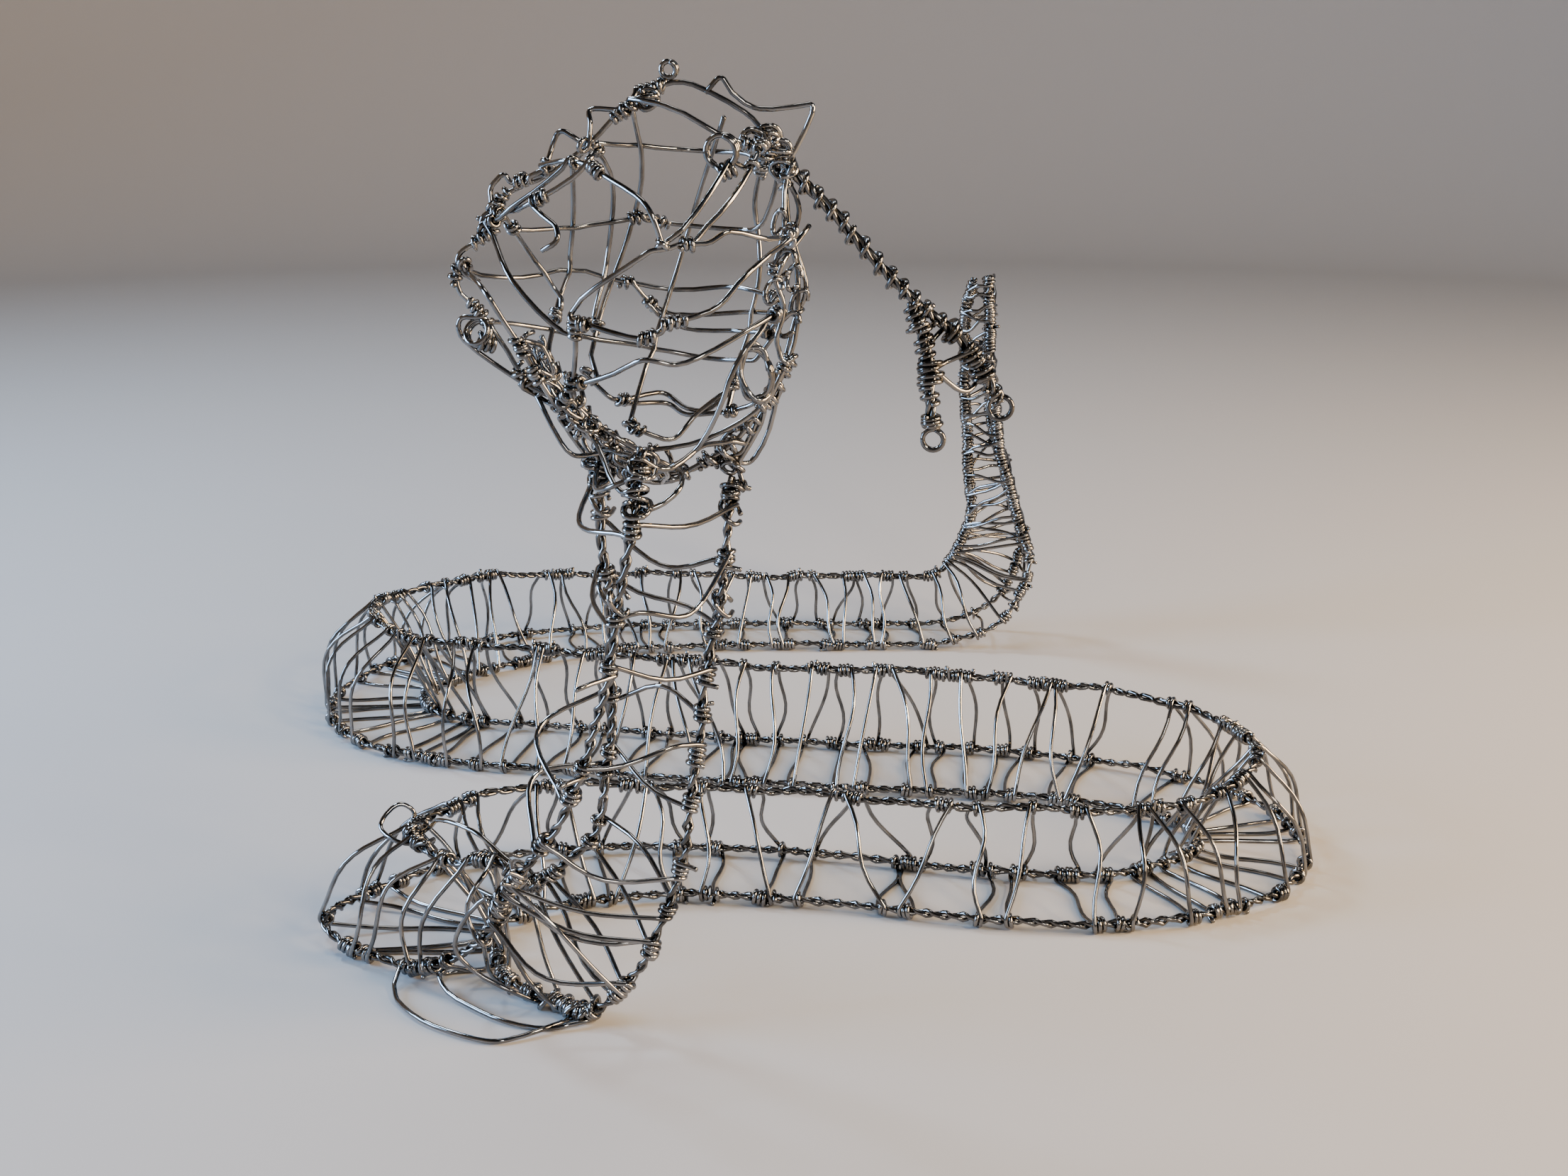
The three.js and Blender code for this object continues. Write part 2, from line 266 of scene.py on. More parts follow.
def twisted(bundle, line, twist=TWIST, count=2, radius=WIRE, start=0.0, step=0.8, opening=0.5):
    """Wires twisted together about a line. Between the half turns they part a little."""
    line = respaced(line, step)
    _, normals, binormals = carried_frames(line)
    along = lengths(line)
    sway = 0.7 * np.sin(TURN * along / 43 + start) + 0.4 * np.sin(along / 5 + 2 * start)
    turned = TURN * along / twist + sway
    parted = radius * opening * (1 + np.sin(along / 7 + start)) / 2 * np.sin(turned) ** 2
    turned = turned - 0.3 * np.sin(2 * turned)
    spread = radius / math.sin(math.pi / count) + parted
    for k in range(count):
        angle = start + turned + TURN * k / count
        offset = normals * np.cos(angle)[:, None] + binormals * np.sin(angle)[:, None]
        bundle.wire(line + spread[:, None] * offset, radius)


def bent(bundle, path, radius=WIRE):
    """A wire along a path, its kinks eased as a hand-bent wire's are."""
    path = softened(respaced(path, 0.62), 2)
    path[:, 2] = np.maximum(path[:, 2], radius)
    bundle.wire(thinned(path), radius)


def cut_end(point, along, outward, length):
    """The cut end of a wire, sprung a little away from what it was wound on."""
    t = np.linspace(0, 1, 4)[1:, None]
    spring = min(0.55 * length, 1.2)
    return point + length * along * t + spring * outward * t**2


class LooseWire:
    """A wire by the places that it passes. Its ends are wound on to the wires that it meets."""

    REACH = 8  # how far an end looks for a wire to be wound on to
    LED = 6  # points at an end that give way where it is led on to that wire
    MARGIN = 4  # length of a wire's own ends on which nothing is wound

    def __init__(self, places, start_turns, end_turns, looseness=1.0):
        self.line = respaced(smooth(places, 14), 0.8)
        self.turns = (start_turns, end_turns)
        self.looseness = looseness

    def target(self):
        """This wire as one that others can be wound on, and at what distance."""
        return Course(self.line), COIL

    def wound_end(self, line, turns, targets):
        """The line with its last stretch led on to the nearest target and wound round it."""
        end = line[-1]
        course, radius = min(targets, key=lambda target: target[0].nearest(end)[1])
        length, away = course.nearest(end)
        if away > self.REACH or turns == 0:
            return line
        heading = unit(end - line[-self.LED])
        axis = course.heading(length)
        across = np.cross(heading, axis)
        sense = RNG.choice(EITHER_WAY) if away < radius else 1
        sense = sense if np.dot(across, end - course.place(length)) > 0 else -sense
        lead = RNG.choice(EITHER_WAY)
        if not self.MARGIN < length + self.MARGIN * lead < course.along[-1] - self.MARGIN:
            lead = -lead
        angle = sense * TURN * (turns + RNG.uniform(-0.2, 0.4))
        outward = square(sense * across, axis)
        pitch = PITCH * self.looseness**2 * RNG.uniform(0.9, 1.4)
        coil = course.turns(length, lead, outward, angle, radius * self.looseness, pitch)
        into = smooth([line[-self.LED - 3], line[-self.LED], coil[0], coil[1]], 5)[5:10]
        return np.vstack([line[: -self.LED], into, coil])

    def bend(self, bundle, targets):
        line = self.wound_end(self.line[::-1], self.turns[0], targets)[::-1]
        bent(bundle, self.wound_end(line, self.turns[1], targets))


def oval_coil(bundle, centre, across, up, turns):
    """A flat wound oval, each turn a little off the last."""
    stops = []
    per_turn = 8
    for i in range(per_turn * turns):
        angle = TURN * i / per_turn
        size = 1 + RNG.uniform(-0.18, 0.12)
        spoke = across * math.cos(angle) + up * math.sin(angle)
        stops.append(centre + size * spoke + vec(0, RNG.uniform(-1.2, 1.2), 0))
    bent(bundle, smooth(stops, 6))


# ---------------------------------------------------------------------------- the body's course

UP = (0, 0, 1)
# As in the CAD model, from the tail's tip to the head: the middle of the two lower strands, the
# width between them, the height of the top strand over them, the direction in which it stands
# off and, where the body turns up into the neck, the direction of the left strand.
STATIONS = [
    ((68, 619, 127), 5, 4.5, (-1, 0, 0)),
    ((69, 619, 112), 8, 8, (-1, 0, 0)),
    ((70, 619, 92), 9, 9, (-1, 0, 0)),
    ((73, 619, 70), 11, 10, (-1, 0, 0)),
    ((79, 620, 50), 15, 15, (-1, 0, 0.1)),
    ((84, 620, 30), 20, 24, (-1, 0, 0.4)),
    ((74, 620, 10), 24, 25, (-0.6, 0, 1)),
    ((52, 619, REST), 24, 22, UP),
    ((15, 619, REST), 24, 21, UP),
    ((-30, 618, REST), 25, 22, UP),
    ((-70, 612, REST), 27, 24, UP),
    ((-103, 596, REST), 29, 27, UP),
    ((-123, 572, REST), 29, 29, UP),
    ((-128, 548, REST), 29, 30, UP),
    ((-116, 526, REST), 31, 30, UP),
    ((-93, 514, REST), 33, 30, UP),
    ((-60, 508, REST), 34, 30, UP),
    ((-20, 500, REST), 34, 29, UP),
    ((25, 494, REST), 34, 29, UP),
    ((65, 489, REST), 33, 28, UP),
    ((97, 478, REST), 31, 27, UP),
    ((117, 461, REST), 28, 26, UP),
    ((121, 440, REST), 28, 25, UP),
    ((109, 420, REST), 28, 24, UP),
    ((82, 408, REST), 27, 23, UP),
    ((45, 411, REST), 27, 23, UP),
    ((10, 420, REST), 27, 22, UP),
    ((-25, 424, REST), 28, 23, UP),
    ((-55, 421, REST), 31, 24, UP),
    ((-76, 411, REST), 36, 25, UP),
    ((-88, 393, REST), 40, 24, (0.1, 0, 1)),
    ((-75, 377, REST), 20, 23, (0, 0.1, 1), (1, 0.4, 0)),
    ((-63, 364, 8), 15, 22, (0, 0.3, 1), (0.4, 0.3, -0.9)),
    ((-50, 353, 16), 33, 20, (-0.3, 1, 0.5), (0.5, 0, -0.9)),
    ((-39, 350, 30), 32, 20, (-0.2, 1, 0.2), (0.7, 0, -0.7)),
    ((-33, 349, 46), 26, 19, (-0.3, 1, 0), (0.9, 0.2, -0.3)),
    ((-27, 350, 70), 24, 20, (-0.5, 0.87, 0)),
    ((-23, 350, 92), 25, 21, (-0.65, 0.76, 0)),
    ((-20, 350, 112), 28, 23, (-0.77, 0.64, 0)),
    ((-19, 354, 122), 29, 23, (-0.8, 0.6, 0)),
]
PER_STATION = 24  # points of a strand's line from station to station
WAVES = ((61, 0.35), (27, 0.25), (13, 0.12))  # lengths and sizes of a strand's small waves


def strand_stops():
    """The places of the three strands at each station, before they are set on the CAD model."""
    middles = [vec(*station[0]) for station in STATIONS]
    stops = {"top": [], "left": [], "right": []}
    for i, (_, width, height, crest, *across) in enumerate(STATIONS):
        heading = unit(middles[min(i + 1, len(middles) - 1)] - middles[max(i - 1, 0)])
        up = unit(vec(*crest))
        if across:
            side = unit(vec(*across[0]))
        else:
            up = square(up, heading)
            side = np.cross(up, heading)
        stops["top"].append(middles[i] + height * up)
        stops["left"].append(middles[i] + width / 2 * side)
        stops["right"].append(middles[i] - width / 2 * side)
    return stops


def plan_offset(stops):
    """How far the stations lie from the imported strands, sideways and in depth."""
    low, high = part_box("strand_right")
    course = smooth(stops, 3)
    middle = (course.min(axis=0) + course.max(axis=0)) / 2
    return vec((low.x + high.x) / 2 / MM - middle[0], (low.y + high.y) / 2 / MM - middle[1], 0)


def uneven(stops, phase):
    """A strand's line with the small waves of a strand bent by hand."""
    line = smooth(stops, PER_STATION) + OFFSET
    along = lengths(line)
    for axis in range(3):
        for wave, size in WAVES:
            line[:, axis] += size * np.sin(TURN * along / wave + phase * (axis + wave))
    line[:, 2] = np.maximum(line[:, 2], REST)
    return line


STOPS = strand_stops()
OFFSET = plan_offset(STOPS["right"])
STRANDS = {
    name: Course(uneven(stops, phase)) for phase, (name, stops) in enumerate(STOPS.items(), 1)
}
MIDDLE = Course(sum(strand.line for strand in STRANDS.values()) / 3)


def length_at(station, course=MIDDLE):
    return float(np.interp(station * PER_STATION, np.arange(len(course.along)), course.along))


def station_at(length):
    index = np.interp(length, MIDDLE.along, np.arange(len(MIDDLE.along)))
    return float(index) / PER_STATION


# ---------------------------------------------------------------------------- hoops

AROUND = ("top", "left", "right")


def centre_at(station):
    return sum(strand.place(length_at(station, strand)) for strand in STRANDS.values()) / 3


def side_run(start, end, bow, sway):
    """A wire's free run from one strand to the next, bowed and swayed sideways."""
    t = np.linspace(0, 1, 16)[1:-1, None]
    bowed = bow * np.sin(math.pi * t) ** 1.3
    return start + (end - start) * t + bowed + sway * np.sin(TURN * t)


def turned_by(direction, axis, angle):
    return direction * math.cos(angle) + np.cross(axis, direction) * math.sin(angle)


def cross_wire(bundle, visits, bows, ends=(1.2, 1.2), radius=WOUND):
    """One wire bent round the strands. Each visit is a strand's name, a station and the turns
    that the wire makes there. A bow says how far a side stands out, and how far it sags along
    the body; the ends are cut."""
    courses = [STRANDS[name] for name, _, _ in visits]
    places = [length_at(station, STRANDS[name]) for name, station, _ in visits]
    spots = [course.place(length) for course, length in zip(courses, places)]
    axes = [course.heading(length) for course, length in zip(courses, places)]
    outs, sides = [], []
    for i in range(len(visits) - 1):
        sides.append(unit(spots[i + 1] - spots[i]))
        centre = centre_at((visits[i][1] + visits[i + 1][1]) / 2)
        outs.append(square((spots[i] + spots[i + 1]) / 2 - centre, sides[i]))
    path = None
    for i, (name, _, turns) in enumerate(visits):
        axis = axes[i]
        before = square(outs[max(i - 1, 0)], axis)
        after = square(outs[min(i, len(outs) - 1)], axis)
        into = sides[max(i - 1, 0)]
        sense = 1 if np.dot(np.cross(axis, before), into) > 0 else -1
        swing = sense * math.atan2(np.dot(after, np.cross(axis, before)), np.dot(after, before))
        swing = swing % TURN
        swing = swing - TURN if swing > 1.6 * math.pi else swing
        angle = sense * (TURN * turns + swing)
        if i == 0:
            before = turned_by(after, axis, -angle)
        lead = RNG.choice(EITHER_WAY)
        start = places[i] - lead * PITCH * abs(angle) / (4 * math.pi)
        coil = courses[i].turns(start, lead, before, angle, radius)
        if path is None:
            spur = cut_end(coil[0], unit(coil[0] - coil[1]), before, ends[0])[::-1]
            path = np.vstack([spur, coil])
            continue
        stand, sag, *sway = bows[i - 1]
        along_body = (axes[i - 1] + axis) / 2
        bow = stand * outs[i - 1] + sag * along_body
        sway = (sway[0] if sway else 0) * along_body
        path = np.vstack([path, side_run(path[-1], coil[0], bow, sway), coil])
    path = np.vstack([path, cut_end(path[-1], unit(path[-1] - path[-2]), after, ends[1])])
    bent(bundle, path)


def irregular_hoop(bundle, length, lean, slack, bulge, windings):
    """A closed hoop at a length along the body, with the chances of a hand-bent wire."""
    skew = RNG.uniform(-1.5, 1.5)
    lengths_by_strand = {"top": length + lean, "left": length - lean + skew}
    lengths_by_strand["right"] = length - lean - skew
    order = list(AROUND) if RNG.random() < 0.5 else list(AROUND[::-1])
    first = RNG.randrange(3)
    order = order[first:] + order[:first]
    visits = [[name, lengths_by_strand[name], RNG.choice(windings)] for name in order]
    visits.append([order[0], lengths_by_strand[order[0]], RNG.choice(windings)])
    visits[0][1] -= 0.6 + 0.5 * visits[0][2]
    visits[3][1] += 0.6 + 0.5 * visits[3][2]
    bows = []
    for (a, _, _), (b, _, _) in zip(visits, visits[1:]):
        stand = RNG.uniform(-0.2, 0.9) * slack + bulge.get(frozenset((a, b)), 0)
        bows.append((stand, RNG.uniform(-1, 1) * slack, RNG.uniform(-0.7, 0.7) * slack))
    visits = [(name, station_at(place), turns) for name, place, turns in visits]
    cross_wire(bundle, visits, bows, (RNG.uniform(0.4, 1.4), RNG.uniform(0.4, 1.4)))


OUTER = frozenset(("top", "right"))  # the side that is outermost in the left and near bends
INNER = frozenset(("top", "left"))  # and the one that is outermost in the right bend
TAIL_WINDINGS = (2, 3, 3, 4)  # the turns that a hoop may make round a strand on the tail
BODY_WINDINGS = (1, 1, 2, 3)  # and on the rest of the body
# Stretches of the body: the piece's name, its first and last station, the spacing of its hoops,
# how far their tops lean, how slack they are, which side bulges, and the CAD hoops that it
# stands for.
STRETCHES = [
    ("tail_cross_wires", 0.2, 5.7, 3.4, 1.6, 1.2, {}, "tail_hoop", 1, 6),
    ("back_run_cross_wires", 5.8, 10.6, 9.0, 3.4, 1.8, {}, "body_hoop", 1, 5),
    ("left_bend_cross_wires", 10.8, 15.4, 8.0, 3.0, 2.2, {OUTER: 5.5}, "body_hoop", 6, 9),
    ("middle_run_cross_wires", 15.6, 20.0, 9.5, 4.2, 2.0, {}, "body_hoop", 10, 14),
    ("right_bend_cross_wires", 20.3, 24.0, 8.0, 3.0, 1.8, {INNER: 3.0}, "body_hoop", 15, 18),
    ("front_run_cross_wires", 24.3, 28.6, 12.5, 4.8, 2.2, {}, "body_hoop", 19, 22),
    ("near_bend_cross_wires", 28.9, 33.2, 8.0, 3.0, 2.4, {OUTER: 3.0}, "body_hoop", 23, 25),
]

# The wires of the neck, each placed one by one: its visits, its bows and its cut ends.
NECK_WIRES = [
    ([("top", 38.6, 3), ("right", 37.87, 2), ("left", 38.45, 3)], [(5, -3), (1, -2)], (3, 2)),
    ([("top", 37.72, 2), ("left", 37.5, 1)], [(0, -6)], (1.5, 1)),
    ([("left", 36.8, 2), ("top", 37.12, 2), ("right", 37.0, 1), ("left", 37.53, 3)],
     [(0.5, 0, 1), (2, -1), (2, -6, 2)], (1, 2)),
    ([("right", 36.5, 2), ("left", 36.38, 3)], [(1.5, -2)], (9, 1.5)),
    ([("left", 36.05, 3), ("top", 35.9, 2), ("right", 35.27, 3)], [(0.5, 5), (10, 0)], (1, 2)),
    ([("right", 35.52, 2), ("left", 35.72, 4)], [(2, 1, -1)], (6, 1)),
    ([("top", 35.4, 2), ("left", 35.33, 3)], [(-1, -2)], (2, 1)),
    ([("top", 35.25, 2), ("right", 34.2, 3), ("left", 34.8, 3)], [(9, 0), (2, -5)], (1, 3)),
    ([("top", 34.6, 1), ("left", 34.4, 2), ("right", 33.3, 3)], [(0, 3), (2, -2)], (1, 2)),
    ([("right", 33.1, 3), ("left", 34.0, 3), ("top", 34.1, 2)], [(2, -3), (1, 1)], (2, 1)),
    ([("top", 33.4, 3), ("left", 33.55, 2), ("right", 32.4, 2)], [(1, 2), (4, -4)], (1, 1)),
    ([("right", 32.7, 2), ("top", 32.8, 2), ("left", 33.0, 4)], [(2, 1), (1, -2)], (2, 2)),
]


# Longer wires that stand off from the near bend, by the places that they pass.
BEND_WIRES = [
    ([(-84, -112, 1.6), (-82, -118, 1), (-80, -123, 0.8), (-72, -132, 0.8), (-59, -139, 0.8),
      (-52, -137.5, 0.8), (-44, -133, 1.6)], 3, 3),
    ([(-74, -113, 2), (-70, -119, 1), (-66, -123, 0.8), (-56, -131, 0.8), (-46, -134, 0.8),
      (-38, -132, 2)], 2, 3),
    ([(-55, -127, 28), (-60, -126, 27), (-65, -125, 21), (-67, -124, 14), (-62, -124, 8),
      (-52, -125, 3)], 3, 3),
    ([(-52, -131, 29), (-48, -132, 26), (-42, -133, 22), (-33, -133, 20),
      (-26, -132, 20.5)], 3, 2),
    ([(-78, -90, 27), (-74, -98, 33), (-64, -106, 33), (-56, -112, 28)], 3, 2),
    ([(-80, -84, 27), (-86, -84, 31), (-90, -88, 27), (-84, -93, 25), (-79, -92, 26)], 2, 2),
]

# Loose loops round the strands where many wires meet: the strand, the station, and half their
# widths across and along it.
STRAND_LOOPS = [
    ("right", 38.75, 2.6, 2.6), ("right", 38.1, 2.8, 1.6), ("right", 37.2, 2.4, 2.2),
    ("left", 38.7, 2.4, 2.4), ("left", 38.1, 2.9, 2.6), ("left", 37.1, 2.4, 2.4),
    ("top", 38.5, 2.4, 2.8), ("top", 37.9, 2.6, 2.4), ("top", 36.9, 2.3, 2.4),
    ("right", 32.6, 2.6, 1.4),
    ("right", 32.75, 2.2, 2.2), ("right", 32.95, 2.7, 1.2), ("top", 32.9, 2.4, 2.0),
    ("top", 33.15, 2.6, 1.4), ("left", 32.3, 2.3, 1.4), ("left", 32.5, 2.6, 2.0),
    ("left", 32.65, 2.4, 1.2), ("left", 32.8, 2.8, 2.2), ("left", 32.95, 2.4, 1.6),
    ("left", 33.1, 2.6, 1.2), ("top", 30.1, 2.6, 1.6), ("top", 30.4, 2.4, 2.0),
]


def build_body(pair_steel, wire_steel):
    for phase, (name, strand) in enumerate(STRANDS.items()):
        bundle = Bundle()
        twisted(bundle, strand.line, start=phase * 1.3)
        bundle.piece(f"{name}_twisted_strand", pair_steel, [f"strand_{name}"])
    for name, begin, end, spacing, lean, slack, bulge, node, first, last in STRETCHES:
        bundle = Bundle()
        length = length_at(begin)
        side = 1
        while length < length_at(end):
            windings = TAIL_WINDINGS if node == "tail_hoop" else BODY_WINDINGS
            leaning = side * RNG.uniform(0.2, 1) * lean
            irregular_hoop(bundle, length, leaning, slack, bulge, windings)
            side = -side if RNG.random() < 0.7 else side
            length += spacing * RNG.uniform(0.75, 1.25)
        replaced = [f"{node}_{i}" for i in range(first, last + 1)]
        bundle.piece(name, wire_steel, replaced)
    bundle = Bundle()
    for visits, bows, ends in NECK_WIRES:
        cross_wire(bundle, visits, bows, ends)
    for places, start_turns, end_turns in BEND_WIRES:
        wire = LooseWire([vec(*place) for place in places], start_turns, end_turns)
        wire.bend(bundle, [(strand, WOUND) for strand in STRANDS.values()])
    for name, station, breadth, rise in STRAND_LOOPS:
        strand = STRANDS[name]
        length = length_at(station, strand)
        heading = strand.heading(length)
        across = turned_by(square(vec(1, 0.3, 0.2), heading), heading, RNG.uniform(-0.6, 0.6))
        tilted = 2.0 * np.cross(heading, across) + rise * heading
        turns = RNG.choice((1, 2))
        oval_coil(bundle, strand.place(length) + 0.5 * across, breadth * across, tilted, turns)
    replaced = [f"neck_hoop_{i}" for i in range(1, 6)]
    bundle.piece("neck_cross_wires", wire_steel, replaced)


# ---------------------------------------------------------------------------- the head

HEAD_CENTRE = vec(-30, 365, 156) + OFFSET
FACE, BACK, HALF_HEIGHT, HALF_DEPTH, WIDEST_AT = 30, 37, 39.5, 28, 3
NEAR, RIM, FAR = -1, 0, 1


def head_point(across, up, side):
    """A place on the head: across and up from its centre, near, far or between them."""
    from_widest = across - WIDEST_AT
    reach, roundness = (BACK, 1.2) if from_widest < 0 else (FACE, 2.4)
    out = (abs(from_widest) / reach) ** roundness + (abs(up) / HALF_HEIGHT) ** roundness
    return HEAD_CENTRE + vec(across, side * HALF_DEPTH * math.sqrt(max(0, 1 - out)), up)


# The wires of the head's cage: the side that each lies on, and the places that it passes. The
# last two numbers are the turns that its ends make round the wires that they meet.
HEAD_WIRES = [
    (RIM, [(-1, 33), (3, 36), (10, 38), (16, 36), (23, 32), (27, 28)], 2, 2),
    (-0.5, [(3, 35), (7, 34), (12, 32), (17, 29), (22, 27), (27, 25)], 3, 2),
    (RIM, [(3, 35), (-2, 32), (-8, 26), (-17, 20), (-24, 17), (-29, 12), (-27, 8)], 3, 2),
    (NEAR, [(-9, 25), (-12, 22), (-23, 14), (-28, 11)], 1, 1),
    (-0.3, [(2, 36), (0, 33), (-7, 33), (-7, 31), (-5, 28)], 2, 1),
    (-0.3, [(-8, 26), (-13, 29), (-15, 25), (-16, 22), (-19, 19)], 1, 2),
    (-0.2, [(-17, 21), (-23, 19), (-24, 21), (-27, 18), (-27, 14)], 1, 1),
    (NEAR, [(-15, 23), (-9, 24), (-2, 21), (5, 17), (8, 10)], 1, 2),
    (FAR, [(-26, 15), (-21, 2), (-14, -9)], 2, 2),
    (-0.8, [(-27, 11), (-23, 4), (-19, -1), (-14, -6), (-10, -8), (-8, -5)], 2, 1),
    (RIM, [(-27, 9), (-33, 6), (-33, 2), (-30, 0)], 2, 0),
    (RIM, [(-31, 4), (-34, 2), (-34, -2), (-31, -5), (-26, -12), (-22, -19), (-17, -23)], 1, 3),
    (-0.15, [(-30, -7), (-34, -7), (-34, -11), (-28, -16), (-22, -20), (-15, -23)], 3, 2),
    (-0.9, [(-22, -20), (-17, -24), (-13, -22), (-10, -17)], 1, 2),
    (NEAR, [(-9, -3), (-9, -9), (-10, -16), (-11, -21)], 2, 2),
    (NEAR, [(-10, -3), (-6, 1), (3, 7), (8, 10), (16, 10), (20, 12), (27, 10), (31, 10)], 3, 2),
    (NEAR, [(-9, -5), (-7, -5), (3, -7), (8, -6)], 3, 3),
    (NEAR, [(6, -5), (17, -2), (22, 3), (27, 7), (31, 9)], 3, 1),
    (FAR, [(-2, -4), (6, -10), (22, -9), (30, -8)], 2, 2),
    (FAR, [(0, -8), (9, -13), (20, -13), (29, -12)], 2, 2),
    (NEAR, [(-11, -18), (-3, -15), (4, -11), (10, -12), (16, -10), (26, -5), (31, -3)], 2, 1),
    (FAR, [(-9, -22), (-5, -26), (4, -26), (9, -29), (14, -29), (20, -24)], 1, 1),
    (FAR, [(-4, -27), (5, -28), (10, -30), (21, -28), (27, -24)], 2, 2),
    (0.8, [(-5, -29), (1, -32), (7, -34), (12, -29), (20, -23)], 1, 2),
    (-0.9, [(28, -5), (23, -10), (20, -15), (18, -21), (14, -29), (10, -33), (4, -36),
            (-2, -38), (-8, -33)], 2, 2),
    (-0.2, [(-2, -33), (3, -33), (14, -31), (26, -24), (31, -14)], 1, 2),
    (-0.1, [(0, -41), (7, -40), (12, -37), (20, -32), (26, -24)], 2, 1),
    (RIM, [(-17, -22), (-13, -28), (-7, -33), (-1, -37), (7, -39), (16, -36)], 2, 2),
    (RIM, [(28, 26), (30, 21), (31, 10), (33, 2), (33, -4), (32, -12), (29, -20), (24, -29),
           (20, -38)], 2, 3),
    (-0.25, [(30, 21), (30, 15), (30, 10), (28, 2), (30, -5), (27, -14)], 1, 2),
    (0.2, [(31, 20), (33, 14), (32, 8), (34, -1), (32, -8), (30, -16), (26, -25)], 1, 2),
    (FAR, [(1, 10), (5, 9), (19, 8), (25, 9), (28, 16), (29, 22)], 2, 1),
    (NEAR, [(8, 10), (12, 13), (18, 21), (21, 27)], 2, 1),
    (-0.9, [(13, 10), (15, 12), (20, 17), (24, 23), (26, 27)], 2, 2),
    (FAR, [(0, 33), (1, 20), (-2, 8), (-8, -8), (-11, -20)], 2, 2),
    (FAR, [(-12, 25), (-13, 12), (-15, 0), (-18, -12), (-18, -21)], 2, 2),
    (FAR, [(-9, 28), (-5, 18), (-7, 2), (-10, -10)], 1, 2),
    (FAR, [(18, 31), (12, 14), (7, -2), (1, -20), (-3, -34)], 2, 2),
    (FAR, [(27, 26), (24, 14), (25, 0), (21, -18), (17, -33)], 1, 2),
    (FAR, [(-27, 9), (-12, 9), (2, 11), (4, 13)], 2, 2),
    (FAR, [(-33, 1), (-24, -1), (-14, 0), (-4, -3), (8, -5), (20, -4), (32, -5)], 2, 2),
    (FAR, [(-29, -8), (-20, -11), (-10, -14), (0, -16), (14, -19), (27, -18)], 1, 2),
    (FAR, [(-8, 26), (2, 25), (13, 24), (25, 24)], 2, 2),
    (NEAR, [(-26, 13), (-18, 16), (-8, 22), (-3, 29)], 2, 3),
    (NEAR, [(-33, 3), (-27, 0), (-24, -5), (-20, -12), (-17, -20)], 1, 2),
    (NEAR, [(-15, 8), (-12, 10), (-13, 13), (-17, 12)], 0, 2),
]


def settle(wires, gap=2.05 * WIRE, rounds=14):
    """Eases the head's wires off each other where they cross."""
    owners = np.concatenate([np.full(len(wire.line), i) for i, wire in enumerate(wires)])
    for _ in range(rounds):
        points = np.vstack([wire.line for wire in wires])
        push = np.zeros_like(points)
        for i, wire in enumerate(wires):
            mine = owners == i
            apart = points[mine][:, None, :] - points[~mine][None, :, :]
            away = np.linalg.norm(apart, axis=2)
            close = np.argmin(away, axis=1)
            nearest = away[np.arange(len(close)), close]
            direction = apart[np.arange(len(close)), close] / np.maximum(nearest, 1e-6)[:, None]
            push[mine] = direction * np.clip(gap - nearest, 0, 0.4)[:, None]
        for i, wire in enumerate(wires):
            eased = softened(push[owners == i], 4) * 1.3
            wire.line = wire.line + eased


def build_cage(bundle):
    """Bends the cage, and returns its wires as targets for those that are tied to it."""
    wires = []
    for side, places, start_turns, end_turns in HEAD_WIRES:
        points = [head_point(place[0], place[1], (*place, side)[2]) for place in places]
        wires.append(LooseWire(points, start_turns, end_turns))
    settle(wires)
    targets = [wire.target() for wire in wires]
    for i, wire in enumerate(wires):
        wire.bend(bundle, targets[:i] + targets[i + 1 :])
    return targets


def tangle(bundle, centre, size, loops):
    """A wire crumpled into a few loops, as where many ends are tucked in."""
    stops = []
    per_loop = 5
    angle = RNG.uniform(0, 6.28)
    tilt = RNG.uniform(0, 6.28)
    for _ in range(per_loop * loops):
        angle += TURN / per_loop
        tilt += RNG.uniform(0.05, 0.6)
        swing = math.sin(angle)
        spoke = vec(math.cos(angle), swing * math.cos(tilt), swing * math.sin(tilt))
        stops.append(centre + size * RNG.uniform(0.75, 1.1) * spoke)
    bent(bundle, smooth(stops, 8))


def ring_coil(bundle, centre, axis, radius, turns, rise=PITCH):
    """A loose coil about an axis."""
    axis = unit(axis)
    first = square(vec(0.3, 0.2, 1), axis)
    second = np.cross(axis, first)
    phi = np.linspace(0, TURN * turns, int(turns * 16) + 2)[:, None]
    round_axis = radius * (first * np.cos(phi) + second * np.sin(phi))
    bent(bundle, centre + round_axis + axis * rise * (phi / TURN - turns / 2))


CAGE_NODES = [
    "head_jaw_wire", "head_nape_wire", "head_crown_wire", "head_face_wire",
    "head_crown_wire_near", "head_brow_wire_near", "head_cheek_wire_near",
    "head_throat_wire_near", "head_chin_wire_near", "head_upright_wire_near",
    "head_crown_wire_far", "head_brow_wire_far", "head_cheek_wire_far",
    "head_throat_wire_far", "head_upright_wire_far",
]


def wound_bundle(bundle, stops, pitch, gap):
    """Three wires twisted together with others wound round them, a gap apart. It is returned as
    a target."""
    line = respaced(smooth(stops, 14), 0.8)
    twisted(bundle, line, twist=12, count=3, opening=0.1)
    course = Course(line)
    radius = WOUND + 0.15
    length = 0.5
    while length < course.along[-1] - 0.5:
        turns = RNG.choice((1, 2, 3))
        angle = TURN * turns
        span = pitch * turns * RNG.uniform(0.8, 1.1)
        span = min(span, course.along[-1] - length)
        start = vec(math.cos(length), math.sin(length), 0.3)
        start = square(start, course.heading(length))
        bent(bundle, course.turns(length, 1, start, angle, radius, span / turns))
        length += span + gap * RNG.uniform(0.7, 1.3)
    return course, radius + WIRE


